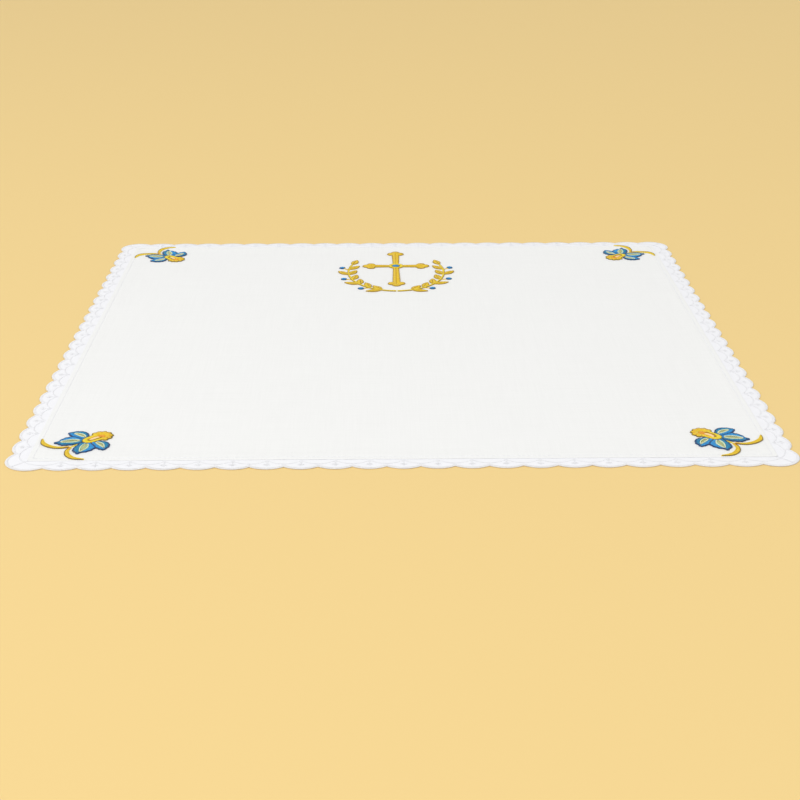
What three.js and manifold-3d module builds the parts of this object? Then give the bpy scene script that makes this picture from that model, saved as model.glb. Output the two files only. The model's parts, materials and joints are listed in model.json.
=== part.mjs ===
// Altar cloth: a square of white linen spread flat, with a scalloped cotton trim on its four sides,
// an embroidered flower in each corner and a larger embroidered emblem near the middle of the back edge.
// Millimetres, +Z up, the front edge towards -Y. The origin is on the underside, at the middle.

import * as THREE from 'three';
import { mergeVertices } from 'three/addons/utils/BufferGeometryUtils.js';
import Module from 'manifold-3d';

const wasm = await Module();
wasm.setup();

// The cloth
const clothSide = 400;      // over the tips of the scallops
const sheetThickness = 1;   // of the linen, and of the trim inside its rim
const clearance = 0.3;      // between neighbouring pieces
const trimShown = 11;       // width of trim outside the linen's folded edge
const foldSteps = 4;        // straight sides of the folded edge's half round

// The scalloped edge of the trim
const scallopPitch = 17.1;
const scallopsOnSide = 21;  // whole ones, between two corner lobes
const scallopDepth = 2.8;
const rimWidth = 1.7;       // the satin-stitched rim along the scallops
const rimRise = 0.5;
const arcSteps = 3;         // an arc gets twice this many straight sides

// The embroidery
const threadHeight = 0.8;   // of satin stitch over its padding
const flowerPlace = { x: 164.5, y: 166.6 };  // of a corner flower's heart from the cloth's two middle lines
const emblemMiddle = 127;   // from the cloth's middle towards the back edge

// Worked out from the sizes above
const half = clothSide / 2;
const linenHalf = half - trimShown;

const linenWhite = new THREE.MeshStandardMaterial({ color: 0xf4f3ef, roughness: 0.9, metalness: 0 });
const trimWhite = new THREE.MeshStandardMaterial({ color: 0xfaf9f6, roughness: 0.8, metalness: 0 });
const goldThread = new THREE.MeshStandardMaterial({ color: 0xd8a211, roughness: 0.45, metalness: 0 });
const blueThread = new THREE.MeshStandardMaterial({ color: 0x1e7fd2, roughness: 0.45, metalness: 0 });

const cloth = new THREE.Group();

function addPiece(name, geometry, material) {
  const mesh = new THREE.Mesh(geometry, material);
  mesh.name = name;
  cloth.add(mesh);
  return mesh;
}

function slab(shape, height) {
  return new THREE.ExtrudeGeometry(shape, { depth: height, bevelEnabled: false, curveSegments: arcSteps });
}

// Linen panel: flat on the table, with a round edge where its hem is folded under

function linenPanel() {
  const foldRadius = sheetThickness / 2;
  const section = [{ out: 0, up: 0 }];
  for (let i = 0; i <= foldSteps; i += 1) {
    const turn = Math.PI * (i / foldSteps - 0.5);
    const out = linenHalf + foldRadius * (Math.cos(turn) - 1);
    section.push({ out, up: foldRadius * (1 + Math.sin(turn)) });
  }
  section.push({ out: 0, up: sheetThickness });
  const cornerLine = section.map(({ out, up }) => new THREE.Vector2(out * Math.SQRT2, up));
  const square = new THREE.LatheGeometry(cornerLine, 4, Math.PI / 4);
  return square.rotateX(Math.PI / 2);
}

addPiece('linen_panel', linenPanel(), linenWhite);

// Solids for the one cut that the trim needs

function toSolid(geometry) {
  geometry.deleteAttribute('normal');
  geometry.deleteAttribute('uv');
  const merged = mergeVertices(geometry);
  const vertProperties = Float32Array.from(merged.attributes.position.array);
  const triVerts = Uint32Array.from(merged.index.array);
  return new wasm.Manifold(new wasm.Mesh({ numProp: 3, vertProperties, triVerts }));
}

function toGeometry(solid) {
  const mesh = solid.getMesh();
  const geometry = new THREE.BufferGeometry();
  geometry.setAttribute('position', new THREE.BufferAttribute(mesh.vertProperties, 3));
  geometry.setIndex(new THREE.BufferAttribute(mesh.triVerts, 1));
  return geometry;
}

// Trim: the front strip seen from above, its scallops towards -Y and its ends mitred

const lastNotch = (scallopsOnSide * scallopPitch) / 2;
const scallopRadius = (scallopPitch ** 2 / 4 + scallopDepth ** 2) / (2 * scallopDepth);

// The corner lobe is a round arc through the last notches of two sides, centred on the diagonal
const notchLevel = half - scallopDepth;
const reachSum = lastNotch + notchLevel - half;
const lobeCentre = reachSum + Math.sqrt(reachSum ** 2 - (lastNotch ** 2 + notchLevel ** 2 - half ** 2));
const lobeRadius = half - lobeCentre;

// Adds the scallops, moved in by inset. lobeStop is the direction, from the right lobe's centre,
// in which the edge ends; the left end mirrors it.
function scallopedEdge(shape, inset, lobeStop) {
  const down = -Math.PI / 2;
  const radius = scallopRadius - inset;
  const lobe = lobeRadius - inset;
  const lobeTurn = Math.asin((lobeCentre - lastNotch) / lobe);
  const turn = Math.asin(scallopPitch / 2 / radius);
  shape.absarc(-lobeCentre, -lobeCentre, lobe, Math.PI - lobeStop, down + lobeTurn + 2 * Math.PI, false);
  for (let i = 0; i < scallopsOnSide; i += 1) {
    const middle = -lastNotch + (i + 0.5) * scallopPitch;
    shape.absarc(middle, -half + scallopRadius, radius, down - turn, down + turn, false);
  }
  shape.absarc(lobeCentre, -lobeCentre, lobe, down - lobeTurn, lobeStop, false);
  return shape;
}

function trimStrip() {
  const mitreBack = clearance / 2;
  const mitreStop = -Math.PI / 4 - Math.asin(mitreBack / lobeRadius);
  const seam = linenHalf + clearance;
  const seamEnd = seam - mitreBack * Math.SQRT2;
  const outline = scallopedEdge(new THREE.Shape(), 0, mitreStop);
  outline.lineTo(seamEnd, -seam);
  outline.lineTo(-seamEnd, -seam);
  outline.closePath();

  // What is taken off inside the rim runs past the mitres and the seam
  const hollow = scallopedEdge(new THREE.Shape(), rimWidth, 0);
  const pastSeam = linenHalf - trimShown;
  hollow.lineTo(half, -pastSeam);
  hollow.lineTo(-half, -pastSeam);
  hollow.closePath();
  const fullHeight = sheetThickness + rimRise;
  const full = toSolid(slab(outline, fullHeight));
  const taken = toSolid(slab(hollow, fullHeight).translate(0, 0, sheetThickness));
  return toGeometry(full.subtract(taken));
}

const strip = trimStrip();
['front', 'right', 'back', 'left'].forEach((side, quarter) => {
  const piece = addPiece(`trim_${side}`, strip, trimWhite);
  piece.rotation.z = (quarter * Math.PI) / 2;
});

// Embroidery: flat outlines raised by the height of the stitching, then laid on the linen

const point = (x, y) => new THREE.Vector2(x, y);
const acrossDiagonal = ({ x, y }) => point(x, -y);

function layOnLinen(shape, place) {
  return slab(shape, threadHeight).applyMatrix4(place).translate(0, 0, sheetThickness + clearance);
}

// Corner flower: x runs from its heart to the corner of the cloth, y across the diagonal

const toothDepth = 0.35;
const petalEdges = [  // of one half, from the bell round to the diagonal
  { from: point(-5.6, 4.3), bow: point(-11, 10.4), to: point(-4.2, 14.2), teeth: 5 },
  { from: point(-4.2, 14.2), bow: point(-3.2, 14.7), to: point(-2.2, 15.3), teeth: 1 },
  { from: point(-2.2, 15.3), bow: point(-0.6, 12.9), to: point(-0.9, 8.9), teeth: 3 },
  { from: point(-0.9, 8.9), bow: point(3.2, 11.9), to: point(7.6, 9.6), teeth: 3 },
  { from: point(7.6, 9.6), bow: point(9.2, 9.3), to: point(10.9, 10.2), teeth: 1 },
  { from: point(10.9, 10.2), bow: point(9.2, 8.1), to: point(9.9, 5.6), teeth: 2 },
  { from: point(9.9, 5.6), bow: point(7.9, 2.6), to: point(1.4, 0.35), teeth: 4 },
];
const bell = { length: 17.6, half: 3.5, throat: 3.9 };
const frill = { radius: 5, wave: 1.3, lobes: 7, spread: 236 };  // spread in degrees
const stem = { from: 4.2, to: 7.2, half: 0.5 };
const tendrilLine = [
  { x: 8.3, y: 0.55, width: 1.1 },
  { x: 12.2, y: 2.9, width: 1.8 },
  { x: 15.2, y: 8, width: 2.5 },
  { x: 15.4, y: 13.4, width: 2.2 },
  { x: 12.5, y: 18.2, width: 0.5 },
];
const tendrilSteps = 14;

// A bowed edge of stitches, with every other point of it pushed out to make small teeth
function toothedEdge({ from, bow, to, teeth }) {
  const curve = new THREE.QuadraticBezierCurve(from, bow, to);
  const edge = [from];
  for (let i = 1; i < 2 * teeth; i += 1) {
    const here = curve.getPoint(i / (2 * teeth));
    const along = curve.getTangent(i / (2 * teeth));
    const out = i % 2 === 1 ? toothDepth : 0;
    edge.push(point(here.x - along.y * out, here.y + along.x * out));
  }
  return edge;
}

function petalsOutline() {
  const diagonalEnd = petalEdges[petalEdges.length - 1].to;
  const upper = [...petalEdges.flatMap(toothedEdge), diagonalEnd];
  const lower = upper.map(acrossDiagonal).reverse();
  const outline = new THREE.Shape([...upper, ...lower]);
  outline.absarc(-bell.half, 0, bell.half + clearance, -Math.PI / 2, Math.PI / 2, false);
  outline.closePath();
  return outline;
}

function bellOutline() {
  const outline = new THREE.Shape();
  outline.absarc(-bell.half, 0, bell.half, -Math.PI / 2, Math.PI / 2, false);
  const middle = frill.radius + frill.wave - bell.length;
  outline.lineTo(middle + frill.radius / 2, bell.throat);
  const pointsPerLobe = 4;
  const count = frill.lobes * pointsPerLobe;
  for (let i = 0; i <= count; i += 1) {
    const turn = Math.PI + THREE.MathUtils.degToRad(frill.spread) * (i / count - 0.5);
    const radius = frill.radius + frill.wave * Math.abs(Math.sin((Math.PI * i) / pointsPerLobe));
    outline.lineTo(middle + radius * Math.cos(turn), radius * Math.sin(turn));
  }
  outline.lineTo(middle + frill.radius / 2, -bell.throat);
  outline.closePath();
  return outline;
}

// The two edges of a band whose width is given at points of its middle line
function bandEdges(line, steps) {
  const curve = new THREE.CatmullRomCurve3(line.map(({ x, y, width }) => new THREE.Vector3(x, y, width)));
  const edges = { left: [], right: [] };
  for (let i = 0; i <= steps; i += 1) {
    const here = curve.getPoint(i / steps);
    const along = curve.getTangent(i / steps);
    const across = point(-along.y, along.x).normalize().multiplyScalar(here.z / 2);
    edges.left.push(point(here.x + across.x, here.y + across.y));
    edges.right.push(point(here.x - across.x, here.y - across.y));
  }
  return edges;
}

function tendrilsOutline() {
  const { left, right } = bandEdges(tendrilLine, tendrilSteps);
  const upper = [point(stem.from, stem.half), point(stem.to, stem.half), ...left, ...right.reverse()];
  const lower = upper.map(acrossDiagonal).reverse();
  return new THREE.Shape([...upper, ...lower]);
}

const corners = [
  { name: 'front_right', right: 1, back: -1 },
  { name: 'back_right', right: 1, back: 1 },
  { name: 'back_left', right: -1, back: 1 },
  { name: 'front_left', right: -1, back: -1 },
];
const flowerParts = [
  { part: 'petals', outline: petalsOutline(), material: blueThread },
  { part: 'trumpet', outline: bellOutline(), material: goldThread },
  { part: 'tendrils', outline: tendrilsOutline(), material: goldThread },
];

corners.forEach(({ name, right, back }) => {
  const heart = new THREE.Vector3(right * flowerPlace.x, back * flowerPlace.y, 0);
  const place = new THREE.Matrix4().makeRotationZ(Math.atan2(back, right)).setPosition(heart);
  flowerParts.forEach(({ part, outline, material }) => {
    addPiece(`flower_${name}_${part}`, layOnLinen(outline, place), material);
  });
});

// Emblem: a cross with trefoil ends between two leafy sprays, with round berries.
// x and y are measured from the emblem's middle, y towards the back edge.

const crossHeart = point(0, 13);
const crossArms = { right: 17.5, up: 29, left: 17.5, down: 40 };  // from the heart to the trefoils
const armHalf = { heart: 1.9, end: 2.6 };
const trefoilRadius = 2.9;
const bossRadius = 2.6;
const bossRing = 5.2;                  // gold round the boss
const quarterTurn = Math.PI / 2;

const wreath = { x: 33, y: 43 };       // half width and half height of the ellipse of the two sprays
const spray = { from: -89, to: 22 };   // degrees on that ellipse
const sprayNodes = 7;                  // places along a stem where leaves grow
const stemHalf = { foot: 0.95, end: 0.5 };
const leafLength = 11.5;
const leafSteps = 4;                   // straight pieces along each edge of a leaf
const leafTurn = 34;                   // degrees between a leaf and the stem
const leafBow = { spread: 42, reach: 7 };  // how far a leaf's two edges bow out from its axis
const leafBase = { back: 0.8, ahead: 1.8 };
const berryRadius = 1.9;
const berryReach = 6.4;                // from its place on the stem to the berry's middle
const berryTurn = 52;                  // degrees between its stalk and the stem
const stalkHalf = 0.45;

function discOutline(middle, radius) {
  const outline = new THREE.Shape();
  outline.absarc(middle.x, middle.y, radius, 0, Math.PI, false);
  outline.absarc(middle.x, middle.y, radius, Math.PI, 2 * Math.PI, false);
  return outline;
}

function crossOutline() {
  const outline = new THREE.Shape();
  const reach = trefoilRadius - armHalf.end;
  const meet = Math.asin(reach / trefoilRadius);
  const ringStart = Math.asin(armHalf.heart / bossRing);
  Object.values(crossArms).forEach((length, quarter) => {
    const facing = quarter * quarterTurn;
    const place = (ahead, aside) => point(
      crossHeart.x + ahead * Math.cos(facing) - aside * Math.sin(facing),
      crossHeart.y + ahead * Math.sin(facing) + aside * Math.cos(facing),
    );
    const lobe = (middle, from, to) => {
      outline.absarc(middle.x, middle.y, trefoilRadius, facing + from, facing + to, false);
    };
    lobe(place(length, -trefoilRadius), Math.PI - meet, 2 * Math.PI);
    lobe(place(length + trefoilRadius, 0), -quarterTurn, quarterTurn);
    lobe(place(length, trefoilRadius), 0, Math.PI + meet);
    const ringEnd = facing + quarterTurn - ringStart;
    outline.absarc(crossHeart.x, crossHeart.y, bossRing, facing + ringStart, ringEnd, false);
  });
  outline.holes.push(discOutline(crossHeart, bossRadius + clearance));
  return outline;
}

// A place on the right spray's stem; its node numbers may lie between two whole ones
function sprayNode(number) {
  const turn = THREE.MathUtils.degToRad(THREE.MathUtils.lerp(spray.from, spray.to, number / sprayNodes));
  const x = wreath.x * Math.cos(turn);
  const y = wreath.y * Math.sin(turn);
  const heading = Math.atan2(wreath.y * Math.cos(turn), -wreath.x * Math.sin(turn));
  return { x, y, heading, half: THREE.MathUtils.lerp(stemHalf.foot, stemHalf.end, number / sprayNodes) };
}

// A point seen from a node: side is 1 for the outer side of the wreath and -1 for the inner one
function seenFrom(node, side, degrees, distance) {
  const heading = node.heading - side * THREE.MathUtils.degToRad(degrees);
  return point(node.x + distance * Math.cos(heading), node.y + distance * Math.sin(heading));
}

function stemEdge(node, side, forward) {
  const degrees = THREE.MathUtils.radToDeg(Math.atan2(node.half, forward));
  return seenFrom(node, side, degrees, Math.hypot(node.half, forward));
}

function leafPoints(node, side) {
  const tip = seenFrom(node, side, leafTurn, leafLength);
  const bow = (sign) => seenFrom(node, side, leafTurn + sign * leafBow.spread, leafBow.reach);
  const rear = new THREE.QuadraticBezierCurve(stemEdge(node, side, -leafBase.back), bow(1), tip);
  const front = new THREE.QuadraticBezierCurve(tip, bow(-1), stemEdge(node, side, leafBase.ahead));
  return [...rear.getPoints(leafSteps), ...front.getPoints(leafSteps).slice(1)];
}

function stalkPoints(node, side) {
  const heading = node.heading - side * THREE.MathUtils.degToRad(berryTurn);
  const stalk = { ...node, heading, half: stalkHalf };
  const root = stalkHalf + node.half;
  const end = berryReach - berryRadius - clearance;
  return [stemEdge(stalk, side, root), stemEdge(stalk, side, end),
    stemEdge(stalk, -side, end), stemEdge(stalk, -side, root)];
}

function endLeafPoints(node) {
  const tip = seenFrom(node, 1, 0, leafLength);
  const bow = (side) => seenFrom(node, side, leafBow.spread, leafBow.reach);
  const outer = new THREE.QuadraticBezierCurve(stemEdge(node, 1, 0), bow(1), tip);
  const inner = new THREE.QuadraticBezierCurve(tip, bow(-1), stemEdge(node, -1, 0));
  return [...outer.getPoints(leafSteps), ...inner.getPoints(leafSteps).slice(1)];
}

// Leaves grow at every node on the inner side. On the outer side leaves and berries take turns.
const hasBerry = (i) => i % 2 === 0;

function sprayPoints() {
  const outer = [stemEdge(sprayNode(0), 1, 0)];
  const inner = [stemEdge(sprayNode(0), -1, 0)];
  for (let i = 1; i < sprayNodes; i += 1) {
    const node = sprayNode(i);
    const between = sprayNode(i - 0.5);
    outer.push(stemEdge(between, 1, 0), ...(hasBerry(i) ? stalkPoints(node, 1) : leafPoints(node, 1)));
    inner.push(stemEdge(between, -1, 0), ...leafPoints(node, -1));
  }
  return [...outer, ...endLeafPoints(sprayNode(sprayNodes)), ...inner.reverse()];
}

const emblemSpot = new THREE.Matrix4().makeTranslation(0, emblemMiddle, 0);

function addEmblemPiece(name, outline, material) {
  addPiece(`emblem_${name}`, layOnLinen(outline, emblemSpot), material);
}

addEmblemPiece('cross', crossOutline(), goldThread);
addEmblemPiece('boss', discOutline(crossHeart, bossRadius), blueThread);
[{ side: 'right', sign: 1 }, { side: 'left', sign: -1 }].forEach(({ side, sign }) => {
  const outline = sprayPoints().map(({ x, y }) => point(sign * x, y));
  addEmblemPiece(`spray_${side}`, new THREE.Shape(outline), goldThread);
  for (let i = 1; i < sprayNodes; i += 1) {
    if (hasBerry(i)) {
      const { x, y } = seenFrom(sprayNode(i), 1, berryTurn, berryReach);
      addEmblemPiece(`berry_${side}_${i / 2}`, discOutline(point(sign * x, y), berryRadius), blueThread);
    }
  }
});

export default cloth;
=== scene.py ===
# %% [markdown]
# # A square altar cloth
# The object is a square of starched white linen, 400 mm over the tips of its scalloped trim. It lies flat.
# Each corner has an embroidered flower, and a larger emblem sits near the middle of the back edge.
# A plain modelling of it would be a white square with a picture on it. Here it is made as a workshop makes
# it: a hemmed sheet, four bands of trim, and some thousands of separate stitches that catch the light.
#
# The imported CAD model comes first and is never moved. Each piece made here replaces one of its nodes.

# %% Blender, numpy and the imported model
import json
import math

import bpy
import numpy as np
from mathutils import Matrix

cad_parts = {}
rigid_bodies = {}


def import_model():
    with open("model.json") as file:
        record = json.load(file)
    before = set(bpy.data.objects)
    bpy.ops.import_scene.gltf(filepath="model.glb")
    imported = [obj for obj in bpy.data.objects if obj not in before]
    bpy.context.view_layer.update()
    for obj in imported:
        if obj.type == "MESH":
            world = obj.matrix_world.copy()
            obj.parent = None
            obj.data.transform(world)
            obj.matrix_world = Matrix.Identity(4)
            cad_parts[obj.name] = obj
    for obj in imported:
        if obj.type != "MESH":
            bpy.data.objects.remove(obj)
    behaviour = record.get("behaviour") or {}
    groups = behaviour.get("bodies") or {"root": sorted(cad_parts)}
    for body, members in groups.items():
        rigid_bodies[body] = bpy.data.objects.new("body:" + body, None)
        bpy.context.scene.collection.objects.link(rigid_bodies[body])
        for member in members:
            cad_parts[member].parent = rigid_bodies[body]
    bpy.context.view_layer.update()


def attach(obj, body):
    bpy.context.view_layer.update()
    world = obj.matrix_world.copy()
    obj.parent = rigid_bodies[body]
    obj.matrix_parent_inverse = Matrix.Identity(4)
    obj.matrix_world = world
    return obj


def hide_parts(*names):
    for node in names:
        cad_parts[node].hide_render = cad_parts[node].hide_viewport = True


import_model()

# %% [markdown]
# ## The camera
# The photograph looks down at the cloth at a shallow angle from in front of the middle of its front edge.
# A camera could be turned by eye until the picture looks right. A pinhole camera fitted to the corners
# and the flowers of a 400 mm square is surer, because a square lying flat has only one such view.
# Its values are simply written in here.

# %% Camera
scene = bpy.context.scene


def put_in_scene(name, data):
    thing = bpy.data.objects.new(name, data)
    scene.collection.objects.link(thing)
    return thing


camera_lens = bpy.data.cameras.new("photo_camera")
camera_lens.sensor_width = 36
camera_lens.lens = 68.43
camera_lens.clip_start = 0.01
camera_lens.clip_end = 60
camera = put_in_scene("photo_camera", camera_lens)
camera.location = (-0.0118, -0.8861, 0.3150)
camera_tilt, camera_turn = 67.95, -0.82     # degrees up from straight down, and against the clock
camera.rotation_euler = (math.radians(camera_tilt), 0, math.radians(camera_turn))
scene.camera = camera
print("Camera looks down by", round(90 - camera_tilt, 2), "degrees")

# %% [markdown]
# ## Floor and light
# The photograph's backdrop is a warm parchment colour, and the cloth has almost no shadow.
# One strong lamp would give hard shadows. A pale surrounding sky gives most of the light here, and one
# large soft lamp at the front left lets the raised threads and the folded edges show.

# %% Floor
def new_material(name, roughness):
    material = bpy.data.materials.new(name)
    material.use_nodes = True
    surface = material.node_tree.nodes["Principled BSDF"]
    surface.inputs["Roughness"].default_value = roughness
    return material, material.node_tree, surface


parchment, _, floor_surface = new_material("floor_parchment", 0.9)
floor_surface.inputs["Base Color"].default_value = (0.82, 0.60, 0.25, 1)
floor_reach = 20
floor_mesh = bpy.data.meshes.new("floor")
floor_points = [(floor_reach * x, floor_reach * y, 0) for x, y in ((-1, -1), (1, -1), (1, 1), (-1, 1))]
floor_mesh.from_pydata(floor_points, [], [(0, 1, 2, 3)])
floor_mesh.materials.append(parchment)
floor = put_in_scene("floor", floor_mesh)

# %% Sky, lamp and the way that light turns into picture values
sky = bpy.data.worlds.new("studio_sky")
sky.use_nodes = True
background = sky.node_tree.nodes["Background"]
background.inputs["Color"].default_value = (1.0, 1.0, 0.99, 1)
background.inputs["Strength"].default_value = 0.88
scene.world = sky
lamp = bpy.data.lights.new("window_lamp", "AREA")
lamp.shape = "DISK"
lamp.size = 1.3
lamp.energy = 24
lamp_holder = put_in_scene("window_lamp", lamp)
lamp_holder.location = (-1.2, -1.7, 1.8)
towards_cloth = -lamp_holder.location
lamp_holder.rotation_euler = towards_cloth.to_track_quat("-Z", "Y").to_euler()
scene.view_settings.view_transform = "Standard"
scene.view_settings.look = "None"

# %% [markdown]
# ## Sizes
# The cloth's own sizes are the same as in the CAD source, in millimetres: a maker would write them on
# the cutting plan. All points are worked out in millimetres, and only the last step of making a mesh
# turns them into Blender's metres.

# %% Sizes of the cloth
MM = 0.001
cloth_half = 200.0      # to the tips of the scallops
linen_half = 189.0      # to the folded edge of the linen
header_half = 185.0     # to the trim's hidden inner edge, under the linen's hem
slope_start = 178.0     # where the linen starts to climb onto its own turned-under hem
slope_end = 184.0
scallop_pitch = 17.1
scallops_on_side = 21
scallop_depth = 2.8
rim_width = 1.7
chance = np.random.default_rng(11)

# %% [markdown]
# ## How high the linen lies
# Starched linen is flat, but never perfectly: a few long, low waves run through it. Near its edge it
# climbs by a third of a millimetre over the hem and the trim's header. One function gives that
# height, and both the sheet and every stitch use it, so that no stitch floats or sinks.

# %% Height of the linen's upper side
linen_level = 0.66      # over the table
hem_climb = 0.29
wave_height = 0.09
wave_turns = chance.uniform(0, 2 * np.pi, 6)
wave_ways = chance.uniform(0, np.pi, 6)
wave_lengths = np.array([61.0, 83.0, 97.0, 118.0, 139.0, 171.0])


def long_waves(x, y):
    total = 0
    for turn, way, length in zip(wave_turns, wave_ways, wave_lengths):
        total = total + np.sin((x * np.cos(way) + y * np.sin(way)) * 2 * np.pi / length + turn)
    return total / len(wave_lengths)


def linen_top(x, y):
    reach = np.maximum(np.abs(x), np.abs(y))
    climb = np.clip((reach - slope_start) / (slope_end - slope_start), 0, 1)
    climb = climb * climb * (3 - 2 * climb)
    return linen_level + hem_climb * climb + wave_height * long_waves(x, y) * (1 - climb)


print("Linen top at the middle and at the hem:", float(linen_top(0, 0)), float(linen_top(185.0, 0)))

# %% [markdown]
# ## Cloth finishes
# Linen is a plain weave: threads pass over and under each other about twenty times in a centimetre, and
# some threads are thicker than others. An image of a weave would blur near by. A few sine waves make a
# sharp one at any distance, so the weave is a node group that gives a height for the bump.

# %% Helpers for shader nodes
def new_group(name, inputs, outputs):
    group = bpy.data.node_groups.new(name, "ShaderNodeTree")
    for label, kind, value in inputs:
        socket = group.interface.new_socket(label, in_out="INPUT", socket_type=kind)
        if value is not None:
            socket.default_value = value
    for label, kind in outputs:
        group.interface.new_socket(label, in_out="OUTPUT", socket_type=kind)
    return group, group.nodes.new("NodeGroupInput"), group.nodes.new("NodeGroupOutput")


def feed(tree, node, values):
    """Sets inputs of a node, by name or number. A value is plain, or the output of another node."""
    for label, value in values.items():
        if isinstance(value, bpy.types.NodeSocket):
            tree.links.new(value, node.inputs[label])
        else:
            node.inputs[label].default_value = value
    return node


def calculate(tree, operation, *values):
    node = feed(tree, tree.nodes.new("ShaderNodeMath"), dict(enumerate(values)))
    node.operation = operation
    return node.outputs[0]


def mixed_colour(tree, share, first, second):
    """A Mix node has sockets for numbers, vectors and colours. Those for colours are 6 and 7."""
    node = feed(tree, tree.nodes.new("ShaderNodeMix"), {0: share, 6: first, 7: second})
    node.data_type = "RGBA"
    return node.outputs[2]


def add_bump(tree, surface, height, distance, strength):
    values = {"Height": height, "Distance": distance, "Strength": strength}
    bump = feed(tree, tree.nodes.new("ShaderNodeBump"), values)
    feed(tree, surface, {"Normal": bump.outputs[0]})


def split_up(tree, vector):
    return feed(tree, tree.nodes.new("ShaderNodeSeparateXYZ"), {0: vector}).outputs


def use_group(tree, group, values):
    node = tree.nodes.new("ShaderNodeGroup")
    node.node_tree = group
    return feed(tree, node, values).outputs


def streaks(tree, position, stretch):
    """Noise drawn out along one direction, as thick and thin threads are."""
    mapping = feed(tree, tree.nodes.new("ShaderNodeMapping"), {"Vector": position, "Scale": stretch})
    values = {"Vector": mapping.outputs[0], "Scale": 1, "Detail": 2}
    return feed(tree, tree.nodes.new("ShaderNodeTexNoise"), values).outputs["Fac"]


# %% Node group: plain weave
weave, weave_in, weave_out = new_group(
    "plain_weave",
    [("Position", "NodeSocketVector", None), ("Thread Pitch", "NodeSocketFloat", 0.0005)],
    [("Height", "NodeSocketFloat"), ("Streaks", "NodeSocketFloat")],
)
across_cloth = split_up(weave, weave_in.outputs["Position"])
pitch_in = weave_in.outputs["Thread Pitch"]
thread_numbers = [calculate(weave, "DIVIDE", across_cloth[axis], pitch_in) for axis in (0, 1)]
turns = [calculate(weave, "MULTIPLY", number, math.pi) for number in thread_numbers]
waves = [calculate(weave, "SINE", turn) for turn in turns]
ridges = [calculate(weave, "ABSOLUTE", wave) for wave in waves]
crossing = calculate(weave, "MULTIPLY", waves[0], waves[1])
warp_over = calculate(weave, "MULTIPLY_ADD", crossing, 0.5, 0.5)
weft_over = calculate(weave, "SUBTRACT", 1.0, warp_over)
warp_height = calculate(weave, "MULTIPLY", ridges[0], warp_over)
weft_height = calculate(weave, "MULTIPLY", ridges[1], weft_over)
long_x = streaks(weave, weave_in.outputs["Position"], (25, 1100, 1))
long_y = streaks(weave, weave_in.outputs["Position"], (1100, 25, 1))
both_ways = calculate(weave, "MULTIPLY", calculate(weave, "ADD", long_x, long_y), 0.5)
both_heights = calculate(weave, "ADD", warp_height, weft_height)
feed(weave, weave_out, {"Height": both_heights, "Streaks": both_ways})
print("Nodes in the weave group:", len(weave.nodes))


# %% Cloth materials
def cloth_material(name, thin, thick, pitch, depth):
    """A woven cloth whose colour goes from thin to thick along its threads."""
    material, tree, surface = new_material(name, 0.85)
    place = tree.nodes.new("ShaderNodeTexCoord").outputs["Object"]
    pattern = use_group(tree, weave, {"Position": place, "Thread Pitch": pitch})
    colour = mixed_colour(tree, pattern["Streaks"], (*thin, 1), (*thick, 1))
    feed(tree, surface, {"Base Color": colour, "Sheen Weight": 0.12, "Sheen Roughness": 0.5})
    add_bump(tree, surface, pattern["Height"], depth, 0.6)
    return material


linen_white = cloth_material("linen_white", (0.80, 0.80, 0.79), (0.88, 0.88, 0.87), 0.0005, 0.00008)
trim_white = cloth_material("trim_white", (0.83, 0.83, 0.86), (0.88, 0.88, 0.91), 0.00035, 0.00006)

# %% [markdown]
# ## Thread finishes
# Embroidery thread is two strands of shiny rayon twisted together. From near by it has slanting ridges,
# and no two stitches take the light quite alike. The ridges come from the thread's own UV map, which runs
# along it and round it, and they also darken the colour in the grooves between the strands, a painted shade
# there. A number kept on each stitch, its tone, mixes a deeper and a lighter shade.

# %% Node group: twisted thread
twist, twist_in, twist_out = new_group(
    "twisted_thread",
    [("Along And Round", "NodeSocketVector", None), ("Tone", "NodeSocketFloat", 0.5),
     ("Deep", "NodeSocketColor", (0, 0, 0, 1)), ("Light", "NodeSocketColor", (1, 1, 1, 1))],
    [("Colour", "NodeSocketColor"), ("Height", "NodeSocketFloat")],
)
on_thread = split_up(twist, twist_in.outputs["Along And Round"])
round_it = calculate(twist, "MULTIPLY", on_thread[1], 2.0)
slant = calculate(twist, "MULTIPLY_ADD", on_thread[0], 1.7, round_it)
ridge = calculate(twist, "SINE", calculate(twist, "MULTIPLY", slant, 2 * math.pi))
half_ridge = calculate(twist, "MULTIPLY_ADD", ridge, 0.5, 0.5)
own_tone = calculate(twist, "MULTIPLY", twist_in.outputs["Tone"], 0.75)
# A quarter of the colour comes from the ridge's height: its top is lighter and its groove darker, a painted
# shade added to each stitch's own tone.
tone_and_painted_groove_shade = calculate(twist, "MULTIPLY_ADD", half_ridge, 0.25, own_tone)
shade = mixed_colour(twist, tone_and_painted_groove_shade, twist_in.outputs["Deep"], twist_in.outputs["Light"])
feed(twist, twist_out, {"Colour": shade, "Height": half_ridge})


# %% Thread materials
def thread_material(name, deep, light, roughness, sheen=0.0):
    material, tree, surface = new_material(name, roughness)
    place = tree.nodes.new("ShaderNodeTexCoord").outputs["UV"]
    tone = tree.nodes.new("ShaderNodeAttribute")
    tone.attribute_name = "tone"
    values = {"Along And Round": place, "Tone": tone.outputs["Fac"]}
    yarn = use_group(tree, twist, {**values, "Deep": (*deep, 1), "Light": (*light, 1)})
    feed(tree, surface, {"Base Color": yarn["Colour"], "Sheen Weight": sheen})
    add_bump(tree, surface, yarn["Height"], 0.00005, 0.5)
    return material


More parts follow.
